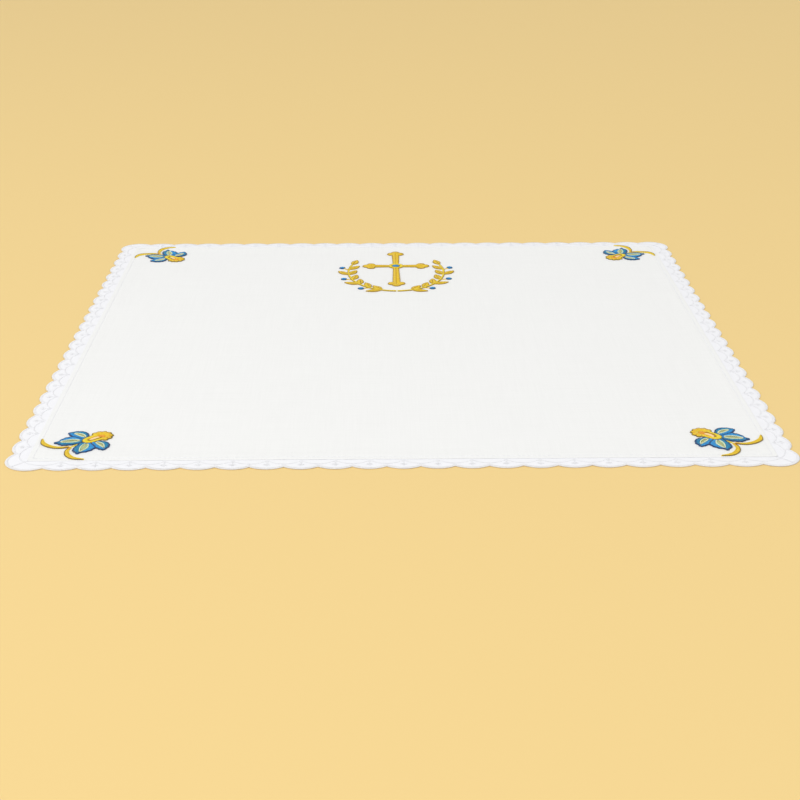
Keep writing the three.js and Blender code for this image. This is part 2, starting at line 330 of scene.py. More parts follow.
thread_looks = {         # the deep shade, the light one and the roughness, and the cotton's sheen
    "gold": ((0.67, 0.42, 0.005), (0.89, 0.64, 0.016), 0.45),
    "yellow": ((0.78, 0.57, 0.008), (0.94, 0.76, 0.035), 0.45),
    "bronze": ((0.30, 0.17, 0.006), (0.50, 0.31, 0.014), 0.5),
    "olive": ((0.13, 0.085, 0.008), (0.27, 0.18, 0.015), 0.5),
    "amber": ((0.72, 0.27, 0.01), (0.90, 0.42, 0.03), 0.45),
    "cream": ((0.88, 0.64, 0.28), (0.95, 0.80, 0.46), 0.5),
    "blush": ((0.80, 0.55, 0.44), (0.93, 0.74, 0.62), 0.5),
    "azure": ((0.005, 0.17, 0.47), (0.018, 0.38, 0.77), 0.45),
    "lagoon": ((0.003, 0.13, 0.30), (0.01, 0.30, 0.52), 0.45),
    "navy": ((0.003, 0.03, 0.12), (0.008, 0.07, 0.22), 0.5),
    "sage": ((0.22, 0.42, 0.24), (0.48, 0.66, 0.38), 0.5),
    "tan": ((0.40, 0.33, 0.10), (0.66, 0.55, 0.24), 0.5),
    "lime": ((0.66, 0.78, 0.46), (0.88, 0.93, 0.68), 0.5),
    "white_cotton": ((0.80, 0.80, 0.83), (0.88, 0.88, 0.90), 0.55, 0.1),
}
threads = {name: thread_material(f"{name}_thread", *look) for name, look in thread_looks.items()}
print("Threads:", ", ".join(threads))


# %% [markdown]
# ## Lines
# Petals, leaves and scallops are all drawn with a few kinds of line: a bowed curve between two points,
# an arc, and a smooth line through given points. Blender's own curves could hold them, but stitches
# need points at equal distances along two lines at once, which is short work in numpy.

# %% Helpers for lines, each an array of points seen from above
def step_lengths(line):
    return np.linalg.norm(np.diff(line, axis=0), axis=1)


def line_length(line):
    return step_lengths(line).sum()


def along(line, distances):
    """The points of a line at given distances from its start."""
    reached = np.concatenate([[0], np.cumsum(step_lengths(line))])
    return np.column_stack([np.interp(distances, reached, line[:, i]) for i in range(line.shape[1])])


def spaced(line, count):
    return along(line, np.linspace(0, line_length(line), count))


def bowed(start, middle, end, count=19):
    t = np.linspace(0, 1, count)[:, None]
    return (1 - t) ** 2 * np.array(start) + 2 * t * (1 - t) * np.array(middle) + t ** 2 * np.array(end)


def arc(centre, radius, first, last, count=25):
    """From the first angle to the last, in degrees."""
    turn = np.radians(np.linspace(first, last, count))
    return np.column_stack([centre[0] + radius * np.cos(turn), centre[1] + radius * np.sin(turn)])


def smooth(points, steps=8):
    """A Catmull-Rom line through the points. They may carry more numbers than x and y."""
    points = np.array(points, float)
    points = np.vstack([2 * points[0] - points[1], points, 2 * points[-1] - points[-2]])
    t = np.linspace(0, 1, steps, endpoint=False)[:, None]
    parts = []
    for a, b, c, d in zip(points, points[1:], points[2:], points[3:]):
        bend = (2 * a - 5 * b + 4 * c - d) * t ** 2
        parts.append(0.5 * (2 * b + (c - a) * t + bend + (3 * b - a - 3 * c + d) * t ** 3))
    return np.vstack([*parts, points[-2:-1]])


def sideways(line):
    """Unit vectors to the left of each point's direction."""
    ahead = np.gradient(line, axis=0)
    ahead = ahead / np.linalg.norm(ahead, axis=1, keepdims=True)
    return np.column_stack([-ahead[:, 1], ahead[:, 0]])


def both_sides(line, half):
    """The left and right edges of a ribbon along a line. half is half of its width."""
    offset = sideways(line) * half
    return line + offset, line - offset


def turned(points, degrees):
    c, s = math.cos(math.radians(degrees)), math.sin(math.radians(degrees))
    return points @ np.array([[c, s], [-s, c]])


# %% [markdown]
# ## Stitches
# A satin stitch is a row of threads lying side by side, each arched a little over padding. In Blender,
# curves with a bevel would do for a few threads, but for thousands they are slow. Instead each thread is
# a tube of four to six sides round a few points, and all threads of a piece are joined in one mesh.
# The tubes' ends dip under the cloth, as the real ones do, so that they need no caps.

# %% From lines to threads
def tubes(lines, width, thick, sides):
    """Points and quads of a tube round each line. lines holds thread, place along it, and x, y, z."""
    count, places, _ = lines.shape
    plan = lines[:, -1, :2] - lines[:, 0, :2]
    plan = plan / np.maximum(np.linalg.norm(plan, axis=1, keepdims=True), 1e-6)
    across = np.column_stack([-plan[:, 1], plan[:, 0], np.zeros(count)])[:, None, :]
    ahead = np.gradient(lines, axis=1)
    ahead = ahead / np.maximum(np.linalg.norm(ahead, axis=2, keepdims=True), 1e-9)
    up = np.cross(ahead, np.broadcast_to(across, ahead.shape))
    angle = 2 * np.pi * (np.arange(sides) + 0.5) / sides
    taper = np.ones(places)
    taper[[0, -1]] = 0.6
    grown = chance.uniform(0.94, 1.06, (count, 1, 1, 1)) * taper[None, :, None, None]
    ring = across[:, :, None, :] * (np.cos(angle) * width / 2)[None, None, :, None]
    ring = ring + up[:, :, None, :] * (np.sin(angle) * thick / 2)[None, None, :, None]
    points = lines[:, :, None, :] + ring * grown
    first = np.arange(count)[:, None, None] * places * sides
    ring_start = first + np.arange(places - 1)[None, :, None] * sides
    here = ring_start + np.arange(sides)[None, None, :]
    beside = ring_start + (np.arange(sides)[None, None, :] + 1) % sides
    quads = np.stack([here, beside, beside + sides, here + sides], axis=3).reshape(-1, 4)
    lengths = np.linalg.norm(np.diff(lines, axis=1), axis=2)
    reached = np.concatenate([np.zeros((count, 1)), np.cumsum(lengths, axis=1)], axis=1)
    reached = reached + chance.uniform(0, 5, (count, 1))
    u = np.stack([reached[:, :-1], reached[:, :-1], reached[:, 1:], reached[:, 1:]], axis=2)[:, :, None, :]
    v = (np.arange(sides)[:, None] + np.array([0, 1, 1, 0])[None, :])[None, None] / sides
    uv = np.stack(np.broadcast_arrays(u, v), axis=4).reshape(-1, 2)
    return points.reshape(-1, 3), quads, uv


def thread_piece(name, sets):
    """One object from sets of threads: (lines, thread name, width, thickness, sides)."""
    used = list(dict.fromkeys(entry[1] for entry in sets))
    points, quads, uvs, tones, colours = [], [], [], [], []
    start = 0
    for lines, thread, width, thick, sides in sets:
        new_points, new_quads, new_uv = tubes(lines, width, thick, sides)
        points.append(new_points)
        quads.append(new_quads + start)
        uvs.append(new_uv)
        tones.append(np.repeat(chance.beta(2.2, 2.2, len(lines)), lines.shape[1] * sides))
        colours.append(np.full(len(new_quads), used.index(thread)))
        start += len(new_points)
    points, quads = np.vstack(points), np.vstack(quads)
    mesh = bpy.data.meshes.new(name)
    mesh.vertices.add(len(points))
    mesh.vertices.foreach_set("co", (points * MM).ravel())
    mesh.loops.add(quads.size)
    mesh.loops.foreach_set("vertex_index", quads.ravel().astype(np.int32))
    mesh.polygons.add(len(quads))
    mesh.polygons.foreach_set("loop_start", np.arange(0, quads.size, 4, dtype=np.int32))
    mesh.polygons.foreach_set("material_index", np.concatenate(colours).astype(np.int32))
    mesh.polygons.foreach_set("use_smooth", np.ones(len(quads), bool))
    mesh.uv_layers.new(name="thread").data.foreach_set("uv", np.vstack(uvs).ravel())
    mesh.attributes.new("tone", "FLOAT", "POINT").data.foreach_set("value", np.concatenate(tones))
    for thread in used:
        mesh.materials.append(threads[thread])
    mesh.update(calc_edges=True)
    return put_in_scene(name, mesh)


# %% [markdown]
# ## Two stitches
# The embroiderer's machine works with two stitches here. Satin stitch fills a shape from one edge to the
# other. Stem stitch draws a line: short stitches that overlap, each leaning a little across the line.
# Both give flat points and a height above the cloth, and are laid on the linen later.

# %% Satin stitch and stem stitch
thread_pitch = 0.36     # between the middles of two neighbouring threads
under_cloth = 0.15      # how deep a stitch's ends dip
tube_sides = 5


def threads_between(start, end, t):
    """For each start point and its end point, the points at the shares t of the way."""
    return start[:, None, :] * (1 - t)[None, :, None] + end[:, None, :] * t[None, :, None]


def satin(start, end, thread, crown=0.7, width=0.42, thick=0.32, places=5):
    """Threads from each start point to its end point, higher where they are longer."""
    span = np.maximum(np.linalg.norm(end - start, axis=1, keepdims=True), 1e-6)
    direction = (end - start) / span
    start = start - direction * chance.normal(0, 0.05, (len(start), 1))
    end = end + direction * chance.normal(0, 0.05, (len(end), 1))
    rise = crown * np.minimum(1, 0.5 + 0.16 * span) + chance.normal(0, 0.012, (len(start), 1))
    t = 0.5 - 0.5 * np.cos(np.pi * np.linspace(0, 1, places))
    arch = 1 - np.abs(2 * t - 1) ** 2.6
    plan = threads_between(start, end, t)
    height = -under_cloth + (rise + under_cloth) * arch[None, :]
    return plan, height, thread, width, thick


def fill(one_edge, other_edge, thread, **how):
    """Satin stitch between two lines that run side by side."""
    count = max(2, math.ceil(max(line_length(one_edge), line_length(other_edge)) / thread_pitch))
    return satin(spaced(one_edge, count), spaced(other_edge, count), thread, **how)


def disc(centre, radius, thread, degrees=90, crown=0.8):
    """A round dot of satin stitch, with its threads at the given angle."""
    offset = np.arange(-radius + thread_pitch / 2, radius, thread_pitch)
    reach = np.sqrt(radius ** 2 - offset ** 2)
    ends = [turned(np.column_stack([sign * reach, offset]), degrees) + np.array(centre) for sign in (-1, 1)]
    plan, height, *rest = satin(ends[0], ends[1], thread, crown=crown)
    dome = np.sqrt(np.clip(1 - (offset / radius) ** 2, 0.15, 1))[:, None]
    return plan, np.where(height > 0, height * dome, height), *rest


def stem_stitch(line, thread, stitch=2.0, step=0.95, lean=0.13, lift=0.36, width=0.4, thick=0.34):
    """Overlapping short stitches along a line."""
    total = line_length(line)
    middle = np.linspace(0, total, max(2, round(total / step) + 1))
    start = along(line, np.clip(middle - stitch / 2, 0, total))
    end = along(line, np.clip(middle + stitch / 2, 0, total))
    span = np.maximum(np.linalg.norm(end - start, axis=1, keepdims=True), 1e-6)
    left = np.column_stack([-(end - start)[:, 1], (end - start)[:, 0]]) / span * lean
    plan = threads_between(start - left, end + left, np.linspace(0, 1, 4))
    height = np.array([0.0, lift, lift, 0.0])[None, :] + chance.normal(0, 0.01, (len(start), 1))
    return plan, height, thread, width, thick


def lay(sets, degrees, move, mirror=False):
    """Turns and moves sets of stitches, and lays them on the linen."""
    laid = []
    for plan, height, thread, width, thick in sets:
        plan = plan * np.array([-1 if mirror else 1, 1])
        plan = turned(plan, degrees) + np.array(move)
        z = linen_top(plan[..., 0], plan[..., 1]) + height
        laid.append((np.dstack([plan, z]), thread, width, thick, tube_sides))
    return laid


def print_stitches(label, sets):
    print(label, sum(len(entry[0]) for entry in sets))


# %% [markdown]
# ## The linen sheet
# The linen's edge is turned under and sewn down over the trim, so its outer edge is a soft fold, with a
# row of small stitches in a shallow groove. A flat plane with a bevel would show none of this. The sheet
# is built from rings round the cloth, close together near the hem and joined to a wider grid in the
# middle. Each ring has a distance from the middle and a height, like the contour of a mould.

# %% Rings of the linen sheet
cells = 96                      # of the grid in the middle, along each side
ring_cells = 3 * cells          # of a ring, along each side
grid_half = 170.0
hem_stitch_line = 186.3
groove_width, groove_depth, shallow_depth = 0.5, 0.11, 0.04     # deeper at a needle hole than beside it
ridge_offset, ridge_width, ridge_height = 1.3, 0.7, 0.02        # on both sides of the groove
mitre_reach, mitre_width, mitre_depth = 4.2, 1.1, 0.10          # along the diagonal, and across it
edge_reach, edge_wander = 0.9, 0.08                             # how far the folded edge strays
corner_cut, corner_width = 0.45, 1.2                            # how much a folded corner is rounded
fold_centre, fold_radius = (188.78, 0.745), 0.205
top_rings = [172, 174, 176, 178, 179.5, 181, 182.5, 184, 185.2, 185.85, 186.3, 186.75, 187.4, 188.0, 188.4]
fold_rings = arc(fold_centre, fold_radius, 90, -90, 7)
under_rings = [(187.4, 0.56), (186.3, 0.58), (185.4, 0.56), (184.4, 0.50), (183, 0.30), (181, 0.14),
               (180.1, 0.10), (180.0, 0.26), (178, 0.12), (175, 0.08), (172, 0.06)]


def hump(offset, width, power=2):
    """1 where there is no offset, and nearly 0 beyond twice the width."""
    return np.exp(-(offset / width) ** power)


def ring_points(out):
    """Points round the cloth at one distance, from the front left corner and against the clock."""
    across = -1 + 2 * np.arange(ring_cells) / ring_cells
    front = np.column_stack([across * out, np.full(ring_cells, -out)])
    return np.vstack([turned(front, 90 * side) for side in range(4)])


step_in_side = np.arange(4 * ring_cells) % ring_cells
at_hole = step_in_side % 2 == 0
from_corner = np.minimum(step_in_side, ring_cells - step_in_side)
hem_wave = np.repeat(chance.normal(0, 1, 4 * ring_cells // 8), 8)
for _ in range(6):
    hem_wave = (np.roll(hem_wave, 1) + hem_wave * 2 + np.roll(hem_wave, -1)) / 4
rings = []
for out in top_rings:
    flat = ring_points(out)
    height = linen_top(flat[:, 0], flat[:, 1])
    from_line = abs(out - hem_stitch_line)
    height = height - hump(from_line, groove_width) * np.where(at_hole, groove_depth, shallow_depth)
    ridges_here = hump(from_line - ridge_offset, ridge_width)
    height = height + ridges_here * np.where(at_hole, -ridge_height, ridge_height)
    mitre = hump(out - header_half, mitre_reach, 4) * hump(from_corner, mitre_width)
    rings.append(np.column_stack([flat, height - mitre_depth * mitre]))
for out, level in [*fold_rings, *under_rings]:
    flat = ring_points(out)
    strays = edge_wander * hem_wave - corner_cut * np.exp(-from_corner / corner_width)
    flat = flat * (1 + hump(out - linen_half, edge_reach) * strays / out)[:, None]
    rings.append(np.column_stack([flat, np.full(len(flat), level)]))
print("Rings:", len(rings), "with", len(rings[0]), "points each")

# %% The linen sheet as one closed mesh
steps = np.linspace(-grid_half, grid_half, cells + 1)
grid_x, grid_y = (values.ravel() for values in np.meshgrid(steps, steps))
grid_tops = np.column_stack([grid_x, grid_y, linen_top(grid_x, grid_y)])
grid_unders = np.column_stack([grid_x, grid_y, np.full(len(grid_x), 0.05)])
row = cells + 1


def grid_faces(rows, columns):
    """Quads of a grid whose points are kept row by row."""
    first = (np.arange(rows - 1)[:, None] * columns + np.arange(columns - 1)).ravel()
    return np.column_stack([first, first + 1, first + columns + 1, first + columns])


grid_quads = grid_faces(row, row)
border = np.concatenate([np.arange(cells), cells + row * np.arange(cells),
                         row * row - 1 - np.arange(cells), row * cells - row * np.arange(cells)])
ring_size = 4 * ring_cells
linen_points = np.vstack([*rings, grid_tops, grid_unders])
linen_faces = []
ahead = (np.arange(ring_size) + 1) % ring_size
here = np.arange(ring_size)
for i in range(len(rings) - 1):
    inner, outer = i * ring_size, (i + 1) * ring_size
    linen_faces += np.column_stack([inner + here, outer + here, outer + ahead, inner + ahead]).tolist()
top_start = len(rings) * ring_size
under_start = top_start + len(grid_tops)
last_ring = (len(rings) - 1) * ring_size
linen_faces += (top_start + grid_quads).tolist() + (under_start + grid_quads[:, ::-1]).tolist()
# One step along the grid's border meets three steps of a ring, so the faces there have six corners.
for i, (here, after) in enumerate(zip(border, np.roll(border, -1))):
    reached = [(3 * i + j) % ring_size for j in range(4)]
    linen_faces.append([top_start + here, *reached, top_start + after])
    reached_under = [last_ring + j for j in reversed(reached)]
    linen_faces.append([under_start + after, *reached_under, under_start + here])


def cloth_piece(name, points, faces, material):
    mesh = bpy.data.meshes.new(name)
    mesh.from_pydata((points * MM).tolist(), [], faces)
    mesh.polygons.foreach_set("use_smooth", np.ones(len(faces), bool))
    mesh.materials.append(material)
    mesh.update()
    return put_in_scene(name, mesh)


linen_sheet = cloth_piece("linen_sheet", linen_points, linen_faces, linen_white)
print("Linen faces:", len(linen_faces))

# %% [markdown]
# ## The hem's stitches
# A line of white machine stitches holds the hem, one from each needle hole to the next. They lie in the
# groove of the sheet, whose mesh has a hole at every second point, so both use the same counts.

# %% Hem stitches
hem_row = ring_points(hem_stitch_line)[::2]
plan = threads_between(hem_row, np.roll(hem_row, -1, axis=0), np.array([0.05, 0.2, 0.5, 0.8, 0.95]))
plan = plan + chance.normal(0, 0.03, (len(plan), 1, 2))
level = linen_top(hem_stitch_line, 0) - groove_depth + np.array([-0.05, 0.11, 0.15, 0.11, -0.05])
hem_lines = np.dstack([plan, np.broadcast_to(level, plan.shape[:2])])
hem_stitches = thread_piece("hem_stitches", [(hem_lines, "white_cotton", 0.36, 0.26, 6)])
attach(linen_sheet, "root")
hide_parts("linen_panel")
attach(hem_stitches, "root")
print("Hem stitches:", len(hem_lines))

# %% [markdown]
# ## The scalloped edge
# Four bands of trim meet in a mitre at each corner, where a round lobe takes the place of a scallop.
# Every part of a band follows the same line, moved in by some distance: the band's edge, and the two
# sides of its stitched rim. So the line is a function of that distance, always with the same number of
# points on each scallop, and stitches can go from one such line to another.

# %% The line of the scallops along the front edge
def arc_radius(span, depth):
    """Of an arc with this distance between its ends."""
    return (span ** 2 / 4 + depth ** 2) / (2 * depth)


last_notch = scallops_on_side * scallop_pitch / 2
scallop_radius = arc_radius(scallop_pitch, scallop_depth)
notch_level = cloth_half - scallop_depth
# A corner's lobe touches both outer lines and meets the last notch. Its centre solves a quadratic.
reach_sum = last_notch + notch_level - cloth_half
lobe_centre = reach_sum + math.sqrt(reach_sum ** 2 - (last_notch ** 2 + notch_level ** 2 - cloth_half ** 2))
lobe_radius = cloth_half - lobe_centre


def scallop_line(inset, per_scallop):
    """From the left mitre to the right one, moved in by inset."""
    radius = scallop_radius - inset
    turn = math.degrees(math.asin(scallop_pitch / 2 / radius))
    lobe = lobe_radius - inset
    lobe_turn = math.degrees(math.asin((lobe_centre - last_notch) / lobe))
    parts = [arc((-lobe_centre, -lobe_centre), lobe, -135, -90 + lobe_turn, per_scallop + 1)[:-1]]
    for i in range(scallops_on_side):
        middle = (-last_notch + (i + 0.5) * scallop_pitch, -cloth_half + scallop_radius)
        parts.append(arc(middle, radius, -90 - turn, -90 + turn, per_scallop + 1)[:-1])
    parts.append(arc((lobe_centre, -lobe_centre), lobe, -90 - lobe_turn, -45, per_scallop + 1))
    return np.vstack(parts)


print("Scallop radius and lobe radius:", round(scallop_radius, 2), round(lobe_radius, 2))

# %% [markdown]
# ## The trim band
# The band itself is a thin woven strip that runs from under the linen to the rim. It is built as rows of
# points from its straight inner edge to the scalloped one, and Blender's Solidify modifier gives it its
# thickness. The strip is a little fuller inside each scallop, where the embroidery draws it up.

# %% One band of trim, then its three turned copies
points_per_scallop = 12
under_rim = 0.35        # how far inside the tips the woven band ends
band_level, band_fullness, band_thickness = 0.28, 0.06, 0.40
rows_of_band = np.array([0, 0.12, 0.3, 0.42, 0.55, 0.7, 0.85, 1.0])
outer_line = scallop_line(under_rim, points_per_scallop)
inner_x = np.clip(outer_line[:, 0], -last_notch, last_notch)
share = np.linspace(1, 0, points_per_scallop + 1)
header_end = header_half - 0.2
inner_x[:points_per_scallop + 1] = -last_notch - (header_end - last_notch) * share
inner_x[-points_per_scallop - 1:] = -inner_x[:points_per_scallop + 1][::-1]
inner_line = np.column_stack([inner_x, np.full(len(inner_x), -header_half)])
band_points = []
for part in rows_of_band:
    flat = inner_line * (1 - part) + outer_line * part
    fullness = np.abs(np.sin(np.pi * np.arange(len(flat)) / points_per_scallop))
    rise = band_fullness * math.sin(math.pi * part) * fullness
    band_points.append(np.column_stack([flat, band_level + rise]))
columns = len(outer_line)
band_points = np.vstack(band_points)
band_faces = grid_faces(len(rows_of_band), columns)[:, [0, 3, 2, 1]].tolist()       # the rows run outwards
side_names = ["front", "right", "back", "left"]


def quarter_turned(points, quarter):
    """Points with x, y and z, turned about the middle of the cloth by quarters of a turn."""
    flat = turned(points[..., :2].reshape(-1, 2), 90 * quarter).reshape(*points.shape[:-1], 2)
    return np.concatenate([flat, points[..., 2:]], axis=-1)


bands = []
for quarter, side in enumerate(side_names):
    band = cloth_piece(f"trim_band_{side}", quarter_turned(band_points, quarter), band_faces, trim_white)
    solidify = band.modifiers.new("thickness", "SOLIDIFY")
    solidify.thickness = band_thickness * MM
    solidify.offset = 0
    bands.append(band)
print("Faces in one band:", len(band_faces))

# %% [markdown]
# ## The rim, the cord and the sprigs
# The scalloped edge is bound with satin stitch that wraps round it. Inside it a thin cord swings from
# scallop to scallop: it touches the hem above the middle of each scallop and dips at each notch.
# Each scallop holds a tiny sprig with an eyelet. All of this is white on white, so only its relief shows.
# It is sewn in real stitches, as the embroidery is, because a bump map has no silhouette at the edge.

# %% Stitches of the rim
rim_threads = 46        # on each scallop
rim_outer = scallop_line(0.0, rim_threads)
rim_inner = scallop_line(rim_width, rim_threads)
rim_across = np.array([1.06, 0.80, 0.50, 0.22, 0.10, 0.22])     # share of the way to the inner line
rim_height = np.array([0.44, 0.57, 0.60, 0.46, 0.25, 0.12])
wobble = chance.normal(0, 0.025, (len(rim_outer), 1))
inwards = (rim_across + wobble)[:, :, None]
rim_plan = rim_outer[:, None, :] * (1 - inwards) + rim_inner[:, None, :] * inwards
rim_lines = np.dstack([rim_plan, np.broadcast_to(rim_height, rim_plan.shape[:2])])
print("Rim stitches on one side:", len(rim_lines))

# %% Stitches of the cord
cord_cusp, cord_belly = 190.1, 194.1
middles = -last_notch + (np.arange(scallops_on_side) + 0.5) * scallop_pitch
cusps = np.concatenate([[-cord_cusp], middles, [cord_cusp]])
cord_half, cord_pitch = 0.45, 0.42
cord_height = np.array([-0.10, 0.13, 0.13, -0.10])
band_top = 0.50


def on_band(plan, height):
    return np.dstack([plan, np.broadcast_to(height + band_top, plan.shape[:2])])


cord_sets = []
for left, right in zip(cusps, cusps[1:]):
    span = right - left
    radius = arc_radius(span, cord_belly - cord_cusp)
    turn = math.degrees(math.asin(span / 2 / radius))
    centre = ((left + right) / 2, -cord_belly + radius)
    swing = arc(centre, radius, -90 - turn, -90 + turn, 25)
    count = math.ceil(line_length(swing) / cord_pitch)
    start, end = (spaced(side, count) for side in both_sides(swing, cord_half))
    end[:-1] += 0.9 * np.diff(end, axis=0)      # so that the threads slant
    cord_sets.append(on_band(threads_between(start, end, np.linspace(0, 1, 4)), cord_height))
cord_lines = np.vstack(cord_sets)
print("Cord stitches on one side:", len(cord_lines))

# %% Stitches of the sprigs, one in each scallop
def leaf_threads(foot, degrees, length, spread, count):
    """Threads that fan from the foot of a small leaf and come together at its tip."""
    side = np.linspace(-1, 1, count)[:, None]
    t = np.linspace(0, 1, 4)
    bulge = np.sin(np.pi * t) ** 0.8
    plan = np.stack([np.broadcast_to(t * length, (count, 4)), side * spread * bulge[None, :]], axis=2)
    return turned(plan.reshape(-1, 2), degrees).reshape(plan.shape) + np.array(foot)


leaves = [((0, -193.6), -90, 3.2, 0.55, 4), ((0, -193.8), -138, 2.6, 0.42, 3),
          ((0, -193.8), -42, 2.6, 0.42, 3), ((0, -192.3), -90, 1.5, 0.16, 2)]
sprig_height = np.array([-0.05, 0.13, 0.14, -0.02])
sprig = np.vstack([on_band(leaf_threads(*leaf), sprig_height) for leaf in leaves])
spoke = np.array([[0.28, 0.0], [0.45, 0.0], [0.72, 0.0], [0.9, 0.0]])
spokes = np.array([turned(spoke, turn) for turn in np.linspace(0, 360, 11)[:-1]])
eyelet = on_band(spokes + np.array([0, -191.7]), np.array([-0.1, 0.12, 0.11, -0.05]))
sprig = np.vstack([sprig, eyelet])
sprig_lines = np.vstack([sprig + np.array([x, 0, 0]) for x in middles])
print("Sprig stitches on one side:", len(sprig_lines))

# %% Four sides of trim, each with its stitches
trim_thick, trim_sides = 0.26, 4        # of the threads
trim_sewing = [(rim_lines, 0.42), (cord_lines, 0.44), (sprig_lines, 0.36)]      # with their widths
for quarter, (side, band) in enumerate(zip(side_names, bands)):
    sets = [(quarter_turned(lines, quarter), "white_cotton", width, trim_thick, trim_sides)
            for lines, width in trim_sewing]
    stitches = thread_piece(f"trim_stitches_{side}", sets)
    for piece in (band, stitches):
        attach(piece, "root")
    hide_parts(f"trim_{side}")
print_stitches("Trim stitches on one side:", trim_sewing)

# %% [markdown]
# ## Corner flower: the petals
# Each flower has two pairs of petals with toothed edges. A petal is blue satin, in two blues, on both
# sides of an almond of green, with a pale line round the almond and navy stem stitch round the petal.
# The petals are drawn in the flower's own frame: x runs from its heart towards the corner of the cloth.
# Only the upper half is drawn, because the lower half is its mirror image.

# %% Lines of the petals
def toothed(start, middle, end, teeth, depth=0.8):
    """A bowed line with small teeth on its left side."""
    line = bowed(start, middle, end, 2 * teeth + 1)
    push = np.where(np.arange(len(line)) % 2 == 1, depth, 0)[:, None]
    return line + sideways(line) * push


side_outer = toothed((-5.6, 4.3), (-11, 10.4), (-4.2, 14.2), 5)
side_point = bowed((-4.2, 14.2), (-3.2, 14.7), (-2.2, 15.3), 3)
side_inner = toothed((-2.2, 15.3), (-0.6, 12.9), (-0.9, 8.9), 3)[::-1]
long_outer = toothed((-0.9, 8.9), (3.2, 11.9), (7.6, 9.6), 3)
long_point = bowed((7.6, 9.6), (9.2, 9.3), (10.9, 10.2), 3)
long_shoulder = toothed((10.9, 10.2), (9.2, 8.1), (9.9, 5.6), 2)[::-1]
long_inner = toothed((9.9, 5.6), (7.9, 2.6), (1.4, 0.35), 4)[::-1]
between = np.array([(-1.9, 4.0), (-1.4, 6.8)])      # where the two petals of one side meet
petals = [
    {"rib": bowed((-4.4, 4.4), (-5.6, 9.2), (-2.2, 15.3)),
     "left": np.vstack([side_outer, side_point[1:]]),
     "right": np.vstack([between, side_inner]),
     "almond": (0.03, 0.82, 1.3),
     "blues": ("lagoon", "azure")},
    {"rib": bowed((-0.4, 2.6), (4.4, 6.6), (10.9, 10.2)),
     "left": np.vstack([between, long_outer, long_point[1:]]),
     "right": np.vstack([[(0.6, 0.9)], long_inner, long_shoulder[1:]]),
     "almond": (0.02, 0.80, 1.85),
     "blues": ("azure", "lagoon")},
]


def petal_stitches(rib, left, right, almond, blues):
    """almond holds where it starts and ends on the rib, and half its width."""
    first, last, widest = almond
    inside = np.clip((np.linspace(0, 1, len(rib)) - first) / (last - first), 0, 1)
    bulge = (widest * np.sin(np.pi * inside ** 0.85) ** 0.8)[:, None] * sideways(rib)
    edges = [rib + bulge, rib - bulge]
    covered = (inside > 0) & (inside < 1)
    sets = []
    for edge, outer, blue in zip(edges, (left, right), blues):
        sets.append(fill(edge, outer, blue, crown=0.75))
        sets.append(stem_stitch(outer, "navy", stitch=1.3, step=0.6, lift=0.5, width=0.8))
    sets.append(fill(edges[0][covered], edges[1][covered], "sage", crown=0.5))
    core = 0.42 * bulge[covered]
    sets.append(fill(rib[covered] + core, rib[covered] - core, "tan", crown=0.95))
    for edge in edges:
        sets.append(stem_stitch(edge[covered], "lime", stitch=1.7, lift=0.62, width=0.6))
    return sets


def with_mirror_image(sets):
    mirrored = [(plan * np.array([1, -1]), height, *rest) for plan, height, *rest in sets]
    return sets + mirrored


petal_sets = with_mirror_image([entry for petal in petals for entry in petal_stitches(**petal)])
base_of_bell = arc((-3.5, 0), 3.6, 88, -88, 25)
half_heart = np.array([(-3.4, 4.6), (-1.6, 4.4), (0.3, 3.0), (1.4, 1.2), (1.7, 0.0)])
heart_edge = np.vstack([half_heart, half_heart[-2::-1] * np.array([1, -1])])
petal_sets.append(fill(base_of_bell, heart_edge, "lagoon", crown=0.5))
print_stitches("Petal stitches in one flower:", petal_sets)

# %% [markdown]
# ## Corner flower: the bell
# The bell of the flower points to the middle of the cloth. A yellow band goes up one side, round the base
# and down the other, with pale and amber threads between and a frill of seven lobes at its mouth.

# %% Lines and stitches of the bell
bell_outer = np.vstack([[(-9.4, 4.0)], arc((-3.5, 0), 3.5, 90, -90, 19), [(-9.4, -4.0)]])
inner_end, inner_radius = -4.9, 1.7
bell_inner = np.vstack([[(-10.4, inner_radius)], arc((inner_end, 0), inner_radius, 90, -90, 15),
                        [(-10.4, -inner_radius)]])
frill_middle = np.array([-11.3, 0.0])
frill_lobes, frill_spread, throat_radius = 7, 236, 1.9
lobe_steps = 12         # points along the edge of each lobe
lobe_share = np.linspace(0, frill_lobes, frill_lobes * lobe_steps + 1)
frill_turn = np.radians(180 + frill_spread * (lobe_share / frill_lobes - 0.5))
frill_reach = 5.0 + 1.3 * np.abs(np.sin(np.pi * lobe_share))
frill_way = np.column_stack([np.cos(frill_turn), np.sin(frill_turn)])
frill_edge = frill_middle + frill_way * frill_reach[:, None]
frill_throat = frill_middle + frill_way * throat_radius
middle_y = np.arange(-4, 5) * thread_pitch
middle_start = np.column_stack([np.full(len(middle_y), -10.9), middle_y])
middle_end = np.column_stack([inner_end + np.sqrt(inner_radius ** 2 - middle_y ** 2), middle_y])
pale = np.abs(middle_y) < 0.8
bell_sets = [
    fill(bell_outer, bell_inner, "yellow", crown=0.8),
    satin(middle_start[pale], middle_end[pale], "cream", crown=0.5),
    satin(middle_start[~pale], middle_end[~pale], "amber", crown=0.5),
    fill(frill_throat, frill_edge, "gold", crown=0.8),
    disc(frill_middle, throat_radius, "amber", 90, 0.7),
    stem_stitch(bell_outer, "bronze", stitch=1.8, lift=0.44),
    stem_stitch(bell_inner[:12], "bronze", stitch=1.8, lift=0.7, width=0.42),
    stem_stitch(frill_edge, "olive", stitch=1.5, step=0.8, lift=0.42, width=0.34),
]
